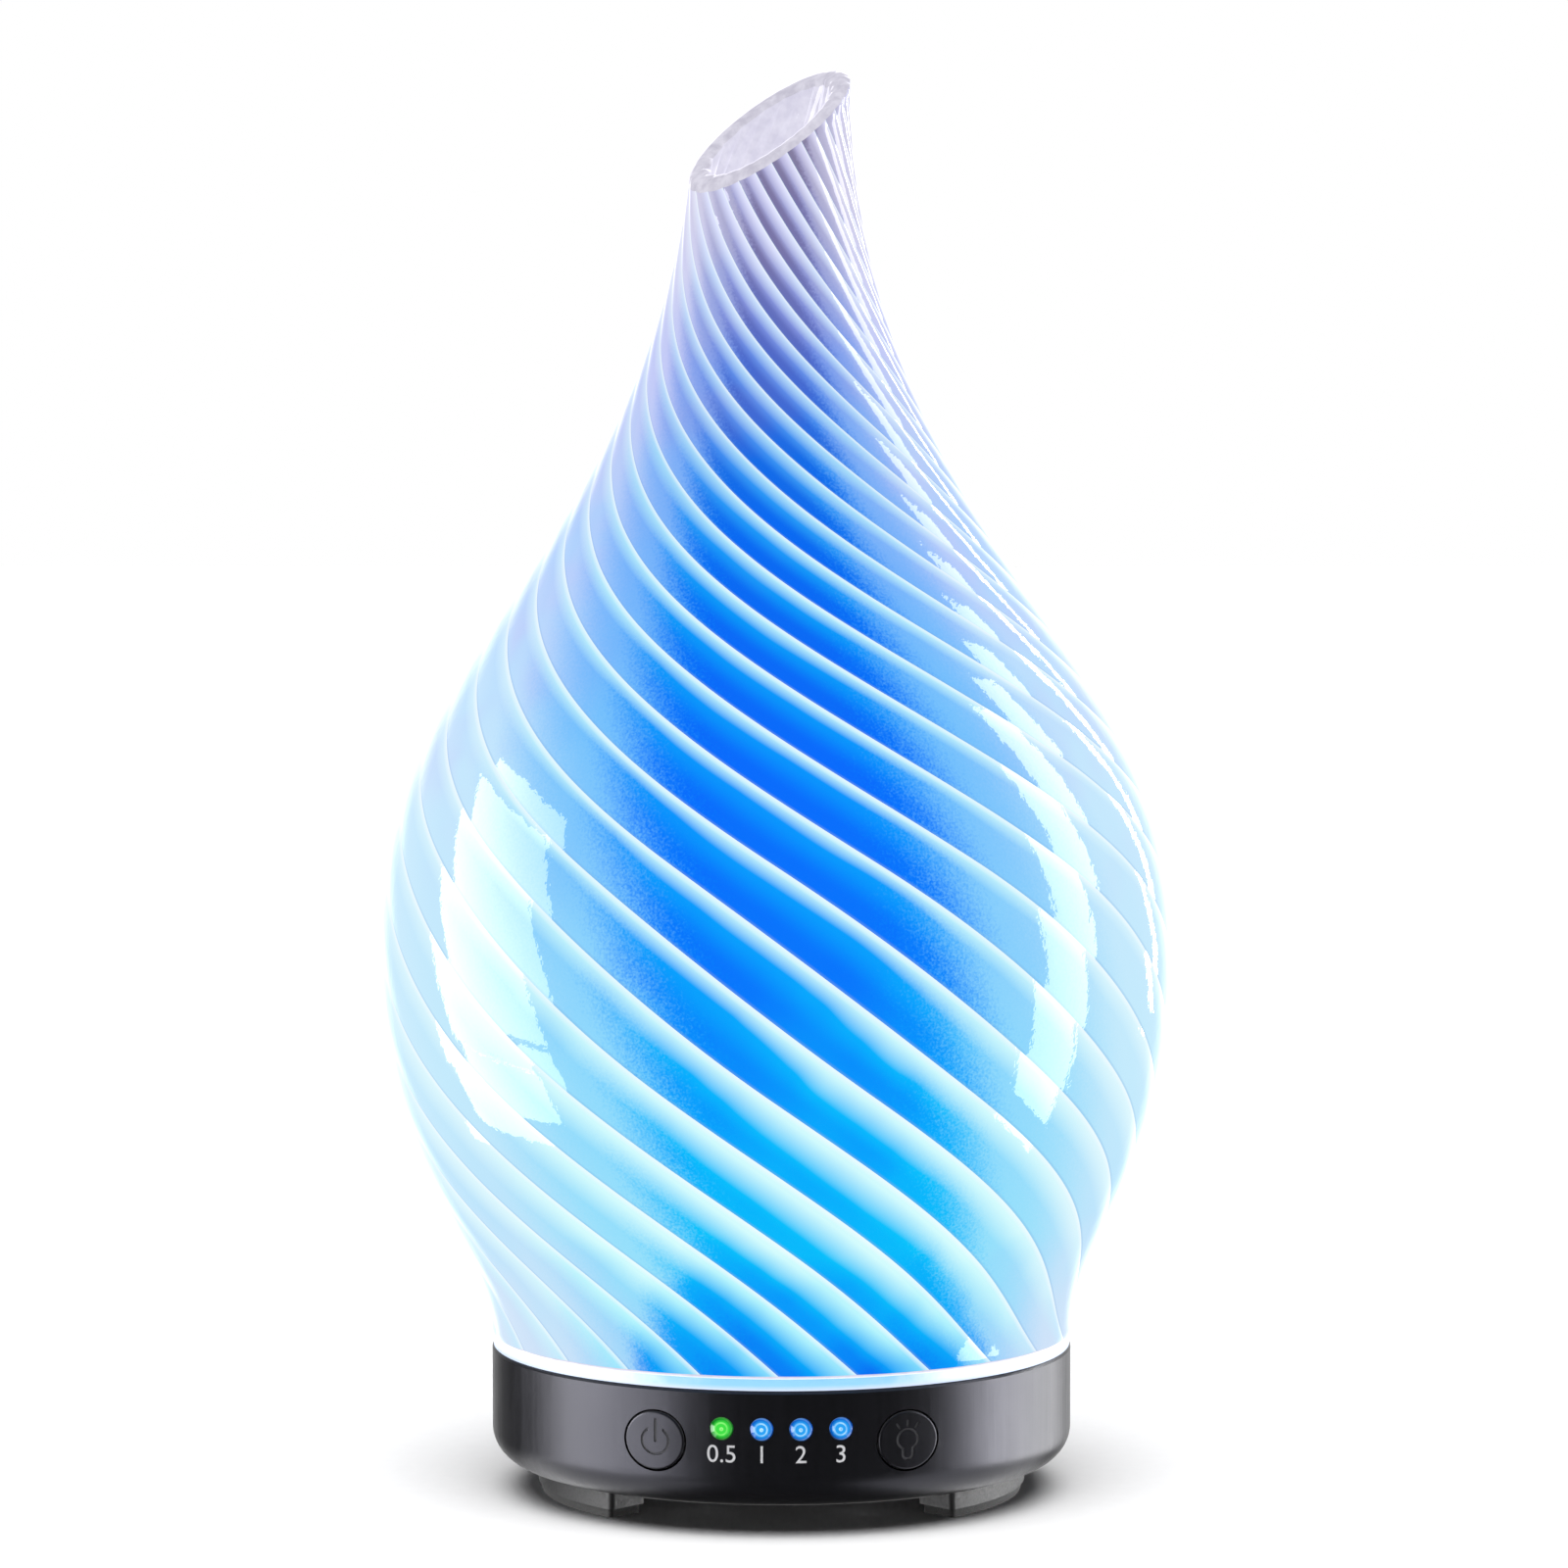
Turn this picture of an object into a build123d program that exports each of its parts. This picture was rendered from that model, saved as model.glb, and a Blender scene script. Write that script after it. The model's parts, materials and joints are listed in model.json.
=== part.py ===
from build123d import *

import os
from math import cos, degrees, hypot, pi, radians, sin, sqrt

# An ultrasonic essential oil diffuser: a blown glass cover with a slanted mouth stands on a glowing ring
# round the water tank, and the ring closes a low round base that holds the fan, the mist disc and the
# electronics. Millimetres. +Z is up, the origin is on the floor under the middle, the buttons face -Y.

# ---- driving dimensions ------------------------------------------------------------------------------
BASE_R = 46.0  # outside of the base housing
HOUSING_LOW = 4.7  # underside of the housing
HOUSING_TOP = 23.2
HOUSING_WALL = 2.2
HOUSING_FILLET = 5.5  # outside round at the foot of the housing
SEAT_Z = 25.0  # the glass stands here, on top of the light ring

GLASS_WALL = 3.0
# The blown glass from its foot to its mouth: outside radius, height, and how far it leans towards -X there.
GLASS_OUTLINE = [
    (46.2, SEAT_Z, 0.0),
    (47.2, 32.0, 0.1),
    (54.7, 49.0, 0.5),
    (60.7, 67.0, 0.8),
    (62.6, 85.0, 1.0),
    (60.3, 105.0, 1.15),
    (52.9, 123.0, 1.35),
    (40.6, 142.0, 1.6),
    (29.2, 160.0, 1.6),
    (20.6, 178.0, 1.45),
    (15.3, 195.0, 1.4),
    (12.6, 212.0, 1.4),
    (12.2, 232.0, 1.4),
]
MOUTH_Z = 217.05  # height of the slanted cut on the base's axis
MOUTH_TILT = 37.0  # degrees from level
MOUTH_AZIMUTH = 32.0  # direction in which the cut climbs, from +X towards +Y

TANK_INNER_R = 38.0
TANK_WALL = 2.0
TANK_FLOOR_LOW = 20.0
TANK_FLOOR_TOP = 22.0
TANK_TOP = 66.0
DUCT_R = 10.6
DUCT_BORE = 9.0
LIGHT_RING_R = 45.8

MIST = (-13.0, 0.0)  # middle of the mist disc
MIST_HOLE_R = 7.2
FAN = (17.0, 0.0)  # middle of the fan and its air duct

FOOT_OUTER_R = 38.7
FOOT_INNER_R = 31.0
FOOT_HALF_ANGLE = 47.0  # each foot reaches this far either side of the X axis
PAD_HEIGHT = 1.4
PAD_INSET = 0.6
COVER_TOP = 6.4  # top face of the bottom cover's plate
COVER_BOSS_TOP = 8.2  # where its screw bosses meet the tank's
COVER_R = 39.4

BOARD_LOW = 16.4  # underside of the main circuit board
BOARD_T = 1.6
PANEL_FRONT = -31.6  # front face of the control board behind the buttons

BUTTON_X = 19.3
BUTTON_Z = 14.9
BUTTON_R = 4.5
BUTTON_GAP = 0.3
BUTTON_PROUD = 0.15
LENS_X = {"half_hour": -9.1, "one_hour": -3.0, "two_hour": 3.0, "three_hour": 9.1}
LENS_Z = 17.3
LENS_R = 1.7

JACK_Z = 12.3  # axis of the power socket, in the back of the base

COVER_BOSSES = [(14.0, 23.0), (-14.0, 23.0), (-14.0, -23.0), (14.0, -23.0)]
BOARD_BOSSES = [(-31.0, 14.0), (-31.0, -14.0), (34.5, 0.0)]
RETAINER_ANGLES = (90.0, 210.0, 330.0)
RETAINER_SCREW_R = 14.2
FAN_HOLE = 10.0  # half the spacing of the fan's corner holes
PANEL_BOSSES = [(-12.2, 10.6), (12.2, 10.6)]
FAN_PLUG = (28.0, -21.5)
MIST_PLUG = (-7.0, 27.5)
PANEL_PLUG = (-6.5, -24.0)

UPRIGHT = (Align.CENTER, Align.CENTER, Align.MIN)


# ---- simple shapes -----------------------------------------------------------------------------------
def disc(radius, low, high, at=(0.0, 0.0)):
    """An upright cylinder between two heights."""
    return Pos(at[0], at[1], low) * Cylinder(radius, high - low, align=UPRIGHT)


def ring(outer, inner, low, high, at=(0.0, 0.0)):
    """An upright tube between two heights."""
    return disc(outer, low, high, at) - disc(inner, low - 1, high + 1, at)


def block(x, y, z):
    """A box from three (low, high) pairs."""
    corner = Pos(x[0], y[0], z[0])
    return corner * Box(x[1] - x[0], y[1] - y[0], z[1] - z[0], align=(Align.MIN,) * 3)


def rod_y(radius, x, z, front, back):
    """A level cylinder along Y, from y = front to y = back."""
    return Pos(x, front, z) * Rot(X=-90) * Cylinder(radius, back - front, align=UPRIGHT)


def turned(points):
    """The solid of revolution about Z of a closed outline of (radius, height) corners."""
    outline = Polyline([(r, 0, z) for r, z in points], close=True)
    return revolve(make_face(outline), Axis.Z, 360)


def around(count, start=0.0):
    """Evenly spaced angles in degrees."""
    return [start + 360.0 * i / count for i in range(count)]


def polar(radius, angle, at=(0.0, 0.0)):
    return (at[0] + radius * cos(radians(angle)), at[1] + radius * sin(radians(angle)))


def screw(at, head_low, up, head_r=1.9, head_t=1.2, shank_r=0.95, shank=4.6):
    """A pan-head screw with a cross recess. up is True if its shank points up."""
    head = disc(head_r, 0, head_t)
    head = fillet(head.edges().group_by(Axis.Z)[0], 0.5)
    recess = block((-1.2, 1.2), (-0.25, 0.25), (-0.1, 0.7)) + block((-0.25, 0.25), (-1.2, 1.2), (-0.1, 0.7))
    made = head - recess + disc(shank_r, head_t, head_t + shank)
    if not up:
        made = Rot(X=180) * made
        return Pos(at[0], at[1], head_low + head_t) * made
    return Pos(at[0], at[1], head_low) * made


# ---- glass -------------------------------------------------------------------------------------------
def inner_outline():
    """The outline moved inwards, square to the wall, by the wall's thickness."""
    moved = []
    last = len(GLASS_OUTLINE) - 1
    for i, (r, z, lean) in enumerate(GLASS_OUTLINE):
        before = GLASS_OUTLINE[max(i - 1, 0)]
        after = GLASS_OUTLINE[min(i + 1, last)]
        dr, dz = after[0] - before[0], after[1] - before[1]
        span = hypot(dr, dz)
        if i in (0, last):
            moved.append((r - GLASS_WALL, z, lean))
        else:
            moved.append((r - GLASS_WALL * dz / span, z + GLASS_WALL * dr / span, lean))
    return moved


def skinned(outline):
    """A solid drawn smoothly over circles of the given radius, height and lean."""
    return loft([Pos(-lean, 0, z) * Face(Wire(Edge.make_circle(r))) for r, z, lean in outline])


def glass_cover():
    shell = skinned(GLASS_OUTLINE) - skinned(inner_outline())
    tilted = Pos(0, 0, MOUTH_Z) * Rot(Z=MOUTH_AZIMUTH) * Rot(Y=-MOUTH_TILT)
    return shell - tilted * Box(90, 90, 60, align=UPRIGHT)


# ---- inner cover over the tank -----------------------------------------------------------------------
def inner_cover():
    rim, skirt_r, chimney_r, wall = 41.0, TANK_INNER_R - 0.5, 9.0, 1.6
    return turned(
        [
            (skirt_r, 61.0),
            (skirt_r, TANK_TOP),
            (rim, TANK_TOP),
            (rim, TANK_TOP + 2.0),
            (37.5, 70.0),
            (25.0, 79.0),
            (15.0, 84.0),
            (chimney_r, 88.0),
            (chimney_r, 108.0),
            (chimney_r - wall, 108.0),
            (chimney_r - wall, 87.0),
            (14.0, 82.4),
            (24.0, 77.5),
            (skirt_r - wall, 68.0),
            (skirt_r - wall, 61.0),
        ]
    )


# ---- water tank --------------------------------------------------------------------------------------
# Screw bosses under the tank's floor: place, radius, lower end, radius of the pilot hole, and its depth.
POSTS = [(at, 3.0, COVER_BOSS_TOP, 1.25, 8.0) for at in COVER_BOSSES]
POSTS += [(at, 2.5, BOARD_LOW + BOARD_T, 0.95, 3.2) for at in BOARD_BOSSES]
WELL_BOSSES = [(polar(RETAINER_SCREW_R, angle, MIST), 2.3, 16.5, 0.95, 4.2) for angle in RETAINER_ANGLES]


def boss_body(at, radius, low, pilot_r, depth):
    return disc(radius, low, TANK_FLOOR_LOW, at)


def boss_pilot(at, radius, low, pilot_r, depth):
    return disc(pilot_r, low - 1, low + depth, at)


def water_tank():
    """Open cup; its floor has a hole for the mist and one for the air."""
    wall_r = TANK_INNER_R + TANK_WALL
    tank = disc(wall_r, TANK_FLOOR_LOW, TANK_FLOOR_TOP) + ring(wall_r, TANK_INNER_R, TANK_FLOOR_LOW, TANK_TOP)
    tank -= disc(DUCT_BORE, TANK_FLOOR_LOW - 1, TANK_FLOOR_TOP + 1, FAN)
    tank -= disc(MIST_HOLE_R, TANK_FLOOR_LOW - 1, TANK_FLOOR_TOP + 1, MIST)
    for boss in POSTS + WELL_BOSSES:
        tank -= boss_pilot(*boss)
    return tank


def light_ring():
    """Ring round the tank that the glass stands on; its plug closes the top of the housing."""
    wall_r = TANK_INNER_R + TANK_WALL
    made = ring(LIGHT_RING_R, wall_r, HOUSING_TOP, SEAT_Z)
    made += ring(42.4, 41.2, SEAT_Z - 0.5, SEAT_Z + 2.5)
    made += ring(BASE_R - HOUSING_WALL - 0.3, 42.0, 20.6, HOUSING_TOP + 0.5)
    return made


def tank_posts():
    return [boss_body(*boss) - boss_pilot(*boss) for boss in POSTS]


def mist_well():
    """Collar under the tank's floor that the mist disc is pressed into."""
    well = disc(12.4, 16.5, TANK_FLOOR_LOW, MIST)
    for boss in WELL_BOSSES:
        well += boss_body(*boss)
    well -= disc(10.7, 10.0, TANK_FLOOR_LOW + 1, MIST)
    for boss in WELL_BOSSES:
        well -= boss_pilot(*boss)
    return well


def fan_collar():
    """Collar under the tank's floor that the fan blows into."""
    collar = ring(12.1, DUCT_BORE, 15.0, TANK_FLOOR_LOW, FAN)
    return collar - disc(11.2, 10.0, 19.0, FAN)


def air_duct():
    """Tube sealed to the tank's floor, that carries the fan's air up above the water."""
    tube = ring(DUCT_R, DUCT_BORE, TANK_FLOOR_TOP, 63.0, FAN)
    tube += ring(DUCT_R + 1.2, DUCT_BORE, TANK_FLOOR_TOP, TANK_FLOOR_TOP + 5.0, FAN)
    slant = Pos(FAN[0], FAN[1], 58.5) * Rot(Y=-16)
    return tube - slant * Box(30, 30, 12, align=UPRIGHT)


def tank_gasket():
    """Soft ring pressed between the tank's plug and the housing wall."""
    return ring(BASE_R - HOUSING_WALL, BASE_R - HOUSING_WALL - 0.3, 20.9, 22.2)


# ---- base housing and bottom cover -------------------------------------------------------------------
def base_housing():
    inner_r, fillet_r = BASE_R - HOUSING_WALL, HOUSING_FILLET
    flat_r = BASE_R - fillet_r
    low, ledge = HOUSING_LOW, COVER_TOP
    lip_r = COVER_R + 0.3
    corner = (flat_r + fillet_r * sin(pi / 4), low + fillet_r * (1 - cos(pi / 4)))
    chain = [(BASE_R, low + fillet_r), (BASE_R, HOUSING_TOP - 0.5), (BASE_R - 0.5, HOUSING_TOP)]
    chain += [(inner_r, HOUSING_TOP), (inner_r, 9.6), (inner_r - 1.6, 8.0), (37.2, 8.0)]
    chain += [(37.2, ledge), (lip_r, ledge), (lip_r, low), (flat_r, low)]
    wall = Polyline([(r, 0, z) for r, z in chain])
    wall += ThreePointArc((flat_r, 0, low), (corner[0], 0, corner[1]), (BASE_R, 0, low + fillet_r))
    housing = revolve(make_face(wall), Axis.Z, 360)
    for x, z in PANEL_BOSSES:
        housing += rod_y(2.2, x, z, -inner_r, PANEL_FRONT) & disc(inner_r + 1, 0, 30)
        housing -= rod_y(0.9, x, z, PANEL_FRONT - 6.0, PANEL_FRONT + 1)
    for x in (-BUTTON_X, BUTTON_X):
        housing -= rod_y(BUTTON_R + BUTTON_GAP, x, BUTTON_Z, -50, -34)
    for x in LENS_X.values():
        housing -= rod_y(LENS_R + 0.1, x, LENS_Z, -50, -40)
    housing -= rod_y(4.1, 0, JACK_Z, 40, 50)
    housing -= block((-4.7, 4.7), (36.0, 43.6), (8.0, BOARD_LOW))
    return housing


def foot_plan(outer, inner, half_angle, low, high):
    """Two arc-shaped blocks, at the two ends of the X axis."""
    reach = 60.0
    wedge = []
    for turn in (0, 180):
        angles = (turn - half_angle, turn + half_angle)
        tips = [(0.0, 0.0)] + [polar(reach, a) for a in angles]
        plan = make_face(Polyline([(x, y, low) for x, y in tips], close=True))
        wedge.append(extrude(plan, high - low, dir=(0, 0, 1)))
    both = ring(outer, inner, low, high)
    return [both & w for w in wedge]


def bottom_cover():
    cover = disc(COVER_R, HOUSING_LOW, COVER_TOP)
    for foot in foot_plan(FOOT_OUTER_R, FOOT_INNER_R, FOOT_HALF_ANGLE, PAD_HEIGHT, HOUSING_LOW + 0.5):
        upright = [e for e in foot.edges().filter_by(Axis.Z)]
        cover += fillet(upright, 0.9)
    for dx in (-FAN_HOLE, FAN_HOLE):
        for dy in (-FAN_HOLE, FAN_HOLE):
            at = (FAN[0] + dx, FAN[1] + dy)
            cover += disc(2.2, COVER_TOP - 0.5, 7.6, at)
    for dx, dy in ((-FAN_HOLE, FAN_HOLE), (FAN_HOLE, -FAN_HOLE)):
        cover -= disc(0.95, 5.5, 8.0, (FAN[0] + dx, FAN[1] + dy))
    for at in COVER_BOSSES:
        cover += disc(3.8, COVER_TOP - 0.5, COVER_BOSS_TOP, at)
        cover -= disc(1.6, 0, 10, at)
        cover -= disc(2.7, 0, COVER_TOP - 0.1, at)
    grille = disc(10.4, 0, 10, FAN)
    for i in range(-4, 5):
        bar = block((FAN[0] - 15, FAN[0] + 15), (FAN[1] + 2.3 * i - 0.7, FAN[1] + 2.3 * i + 0.7), (0, 10))
        cover -= bar & grille
    return cover


def foot_pads():
    """Soft pads glued under the feet."""
    inset = degrees(PAD_INSET / FOOT_INNER_R)
    pads = foot_plan(FOOT_OUTER_R - PAD_INSET, FOOT_INNER_R + PAD_INSET, FOOT_HALF_ANGLE - inset, 0, PAD_HEIGHT)
    return [fillet(p.edges().filter_by(Axis.Z), 0.7) for p in pads]


def cover_screws():
    return [screw(at, COVER_TOP - 1.5, True, 2.3, 1.4, 1.25, 9.0) for at in COVER_BOSSES]


# ---- mist disc ---------------------------------------------------------------------------------------
def transducer_seal():
    """Silicone ring with a groove that grips the edge of the mist disc."""
    seal = ring(10.6, 7.0, 16.4, TANK_FLOOR_LOW, MIST)
    return seal - disc(8.1, 18.0, 19.0, MIST)


def piezo_disc():
    return disc(8.0, 18.0, 19.0, MIST) + disc(3.5, 17.6, 18.1, MIST)


def transducer_retainer():
    plate = disc(12.2, 15.1, 16.4, MIST)
    for angle in RETAINER_ANGLES:
        plate += disc(2.6, 15.1, 16.4, polar(RETAINER_SCREW_R, angle, MIST))
    plate -= disc(6.4, 10, 20, MIST)
    for angle in RETAINER_ANGLES:
        plate -= disc(1.2, 10, 20, polar(RETAINER_SCREW_R, angle, MIST))
    return plate


def retainer_screws():
    spots = [polar(RETAINER_SCREW_R, angle, MIST) for angle in RETAINER_ANGLES]
    return [screw(at, 13.9, True) for at in spots]


# ---- main board --------------------------------------------------------------------------------------
def main_board():
    top = BOARD_LOW + BOARD_T
    board = disc(40.0, BOARD_LOW, top)
    board -= block((-50, 50), (-50, PANEL_FRONT + BOARD_T + 0.8), (0, 30))
    board -= disc(17.4, 0, 30, MIST)
    board -= block((FAN[0] - 13.4, FAN[0] + 13.4), (-13.4, 13.4), (0, 30))
    for at in COVER_BOSSES:
        board -= disc(3.4, 0, 30, at)
    for at in BOARD_BOSSES:
        board -= disc(1.4, 0, 30, at)
    return board


def board_screws():
    return [screw(at, BOARD_LOW - 1.2, True) for at in BOARD_BOSSES]


def light_spots():
    """Where the colour lights stand on the board, clear of its holes and screws."""
    return [polar(35.5, a) for a in (22, 50, 76, 104, 130, 180, 218, 322)]


def colour_lights():
    """Square three-colour LEDs that shine up through the tank."""
    top = BOARD_LOW + BOARD_T
    made = []
    for x, y in light_spots():
        body = block((x - 2.5, x + 2.5), (y - 2.5, y + 2.5), (top, top + 1.6))
        made.append(body - disc(2.0, top + 1.2, top + 2, (x, y)))
    return made


def drive_coil():
    """Wound coil that drives the mist disc."""
    at = (-24.0, 26.0)
    core = disc(4.2, 10.4, 11.4, at) + disc(3.0, 10.4, BOARD_LOW, at)
    return core + disc(4.2, 15.4, BOARD_LOW, at) + ring(3.9, 2.9, 11.4, 15.4, at)


def capacitors():
    spots = [(-27.0, -22.0), (27.0, 22.5)]
    return [fillet(disc(3.2, 9.6, BOARD_LOW, at).edges().group_by(Axis.Z)[0], 0.5) for at in spots]


def controller_chips():
    spots = [((1.0, 20.5), (5.2, 4.4)), ((-34.5, 0.0), (3.0, 5.0)), ((2.0, -21.5), (6.0, 5.0))]
    made = []
    for (x, y), (w, h) in spots:
        body = block((x - w / 2, x + w / 2), (y - h / 2, y + h / 2), (BOARD_LOW - 1.5, BOARD_LOW))
        made.append(chamfer(body.edges().group_by(Axis.Z)[0], 0.25))
    return made


def board_plugs():
    """White plug sockets for the fan, mist disc and control board leads."""
    made = []
    for x, y in (FAN_PLUG, MIST_PLUG, PANEL_PLUG):
        body = block((x - 3.2, x + 3.2), (y - 2.2, y + 2.2), (BOARD_LOW - 4.6, BOARD_LOW))
        made.append(body - block((x - 2.6, x + 2.6), (y - 1.6, y + 1.6), (BOARD_LOW - 5, BOARD_LOW - 3.4)))
    return made


# ---- power socket ------------------------------------------------------------------------------------
def jack_shell():
    body = block((-4.5, 4.5), (32.0, 43.4), (8.2, BOARD_LOW))
    body += rod_y(3.9, 0, JACK_Z, 43.0, 45.0)
    body -= rod_y(3.1, 0, JACK_Z, 35.0, 50)
    return body - rod_y(1.2, 0, JACK_Z, 30, 36)


def jack_pin():
    pin = rod_y(1.0, 0, JACK_Z, 32.2, 44.2)
    return fillet(pin.edges().group_by(Axis.Y)[-1], 0.4) + rod_y(1.2, 0, JACK_Z, 32.2, 35.4)


# ---- fan ---------------------------------------------------------------------------------------------
def fan_frame():
    x, y = FAN
    half, low, high = 12.5, 7.6, 14.6
    frame = block((x - half, x + half), (y - half, y + half), (low, high))
    frame = fillet(frame.edges().filter_by(Axis.Z), 1.6)
    frame -= disc(11.6, 0, 20, FAN)
    for dx in (-FAN_HOLE, FAN_HOLE):
        for dy in (-FAN_HOLE, FAN_HOLE):
            frame -= disc(1.3, 0, 20, (x + dx, y + dy))
    spokes = disc(5.0, 13.5, high, FAN)
    for angle in around(3, 30):
        arm = Pos(x, y, 13.5) * Rot(Z=angle) * block((4.0, 11.9), (-0.9, 0.9), (0, high - 13.5))
        spokes += arm
    return frame + spokes + ring(1.7, 0.85, 9.4, 14.0, FAN)


def fan_stator():
    core = ring(4.0, 1.7, 9.8, 13.2, FAN)
    for angle in around(4, 45):
        core -= Pos(FAN[0], FAN[1], 9.8) * Rot(Z=angle) * block((2.8, 4.6), (-0.5, 0.5), (-1, 5))
    return core


def fan_rotor():
    hub = disc(5.4, 8.2, 13.1, FAN) - disc(4.75, 9.1, 14, FAN)
    hub -= disc(0.8, 0, 20, FAN)
    blade = block((5.1, 10.9), (-0.35, 0.35), (-2.4, 2.4))
    for angle in around(7):
        tilted = Rot(X=38) * blade
        hub += (Pos(FAN[0], FAN[1], 10.7) * Rot(Z=angle) * tilted) & disc(11.1, 8.3, 13.0, FAN)
    return hub


def fan_magnet():
    return ring(4.75, 4.25, 9.1, 13.0, FAN)


def fan_shaft():
    return disc(0.8, 8.3, 13.2, FAN)


def fan_screws():
    spots = [(FAN[0] - FAN_HOLE, FAN[1] + FAN_HOLE), (FAN[0] + FAN_HOLE, FAN[1] - FAN_HOLE)]
    return [screw(at, 14.6, False, shank=8.6) for at in spots]


# ---- control board and buttons -----------------------------------------------------------------------
def control_board():
    board = block((-26.0, 26.0), (PANEL_FRONT, PANEL_FRONT + BOARD_T), (8.8, 19.3))
    for x, z in PANEL_BOSSES:
        board -= rod_y(1.2, x, z, -40, -20)
    return board


def panel_screws():
    made = []
    for x, z in PANEL_BOSSES:
        turned_over = Pos(x, PANEL_FRONT + BOARD_T + 1.2, z) * Rot(X=90)
        made.append(turned_over * screw((0, 0), 0, True, shank_r=0.9, shank=5.6))
    return made


def switch_body(x):
    front = PANEL_FRONT - 3.4
    body = block((x - 3.0, x + 3.0), (front, PANEL_FRONT), (BUTTON_Z - 3.0, BUTTON_Z + 3.0))
    return body - rod_y(1.8, x, BUTTON_Z, front - 1, front + 2.2)


def switch_plunger(x):
    front = PANEL_FRONT - 3.4
    return rod_y(1.7, x, BUTTON_Z, front - 1.2, front + 1.2)


def wall_between(outer, inner):
    return ring(outer, inner, 5, 25)


def button_cap(x, icon):
    """A button whose face follows the housing, with its symbol cut into it."""
    face_r = BASE_R + BUTTON_PROUD
    cap = rod_y(BUTTON_R, x, BUTTON_Z, -50, -30) & wall_between(face_r, 43.0)
    face = [f for f in cap.faces() if f.geom_type == GeomType.CYLINDER and f.radius > BASE_R]
    cap = fillet(face[0].edges(), 0.3)
    cap += rod_y(5.3, x, BUTTON_Z, -50, -30) & wall_between(43.7, 42.5)
    cap += rod_y(2.0, x, BUTTON_Z, -39.0, PANEL_FRONT - 4.6)
    sketch = Plane((x, -60, BUTTON_Z), x_dir=(1, 0, 0), z_dir=(0, -1, 0)) * icon
    cutter = extrude(sketch, 30, dir=(0, 1, 0)) & wall_between(face_r + 1, face_r - 0.3)
    return cap - cutter


def power_symbol():
    """An open ring with a bar in the gap."""
    open_ring = Circle(2.25) - Circle(1.85)
    open_ring -= Pos(0, 2.2) * Rectangle(2.2, 2.2)
    return open_ring + Pos(0, 1.6) * SlotOverall(3.7, 0.42, rotation=90)


def bulb_symbol():
    """The outline of a light bulb under three rays."""
    def bulb(grow):
        shape = Pos(0, 0.2) * Circle(1.55 + grow)
        shape += Pos(0, -1.45) * Rectangle(1.5 + 2 * grow, 1.5)
        return shape + Pos(0, -2.1) * Circle(0.75 + grow)

    symbol = bulb(0.18) - bulb(-0.18)
    for angle in (-32, 0, 32):
        symbol += Rot(Z=angle) * Pos(0, 2.65) * SlotOverall(1.15, 0.34, rotation=90)
    return symbol


def lens(x):
    """A clear light guide with a domed front, a collar behind the wall and a foot at its LED."""
    face_y = -sqrt(BASE_R**2 - x**2)
    collar = rod_y(LENS_R + 0.5, x, LENS_Z, -50, -30) & wall_between(43.4, 42.2)
    guide = rod_y(LENS_R, x, LENS_Z, face_y + 0.2, PANEL_FRONT - 1.6) + collar
    ball_r, proud = 3.0, 0.35
    ball = Pos(x, face_y - proud + ball_r, LENS_Z) * Sphere(ball_r)
    return guide + (ball & rod_y(LENS_R, x, LENS_Z, -50, face_y + 0.2))


def indicator_lights():
    made = []
    for x in LENS_X.values():
        made.append(block((x - 1.3, x + 1.3), (PANEL_FRONT - 1.4, PANEL_FRONT), (LENS_Z - 0.9, LENS_Z + 0.9)))
    return made


# ---- leads -------------------------------------------------------------------------------------------
def lead(points, radius=0.9):
    """A round lead along straight runs joined by arcs as large as the runs allow."""
    runs = [Vector(*b) - Vector(*a) for a, b in zip(points, points[1:])]
    radii = []
    for before, after in zip(runs, runs[1:]):
        turn = radians(before.get_angle(after))
        radii.append(0.45 * min(before.length, after.length) / (sin(turn / 2) / cos(turn / 2)))
    route = FilletPolyline(*points, radius=radii)
    start = Plane(route @ 0, z_dir=route % 0)
    return sweep(start * Circle(radius), path=route)


def fan_lead():
    x, y = FAN_PLUG
    front = FAN[1] - 12.5
    return lead([(25.0, front, 9.6), (25.0, front - 3.5, 9.6), (x, y, 9.6), (x, y, BOARD_LOW - 3.4)])


def mist_lead():
    x, y = MIST_PLUG
    return lead([(-13.0, 2.0, 17.6), (-13.0, 2.0, 11.4), (-9.0, 14.0, 10.2), (x, y, 10.2), (x, y, BOARD_LOW - 3.4)])


def panel_lead():
    x, y = PANEL_PLUG
    back = PANEL_FRONT + BOARD_T
    return lead([(-2.0, back, 10.4), (-2.0, back + 2.4, 10.4), (x, y, 9.8), (x, y, BOARD_LOW - 3.4)], 0.8)


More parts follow.
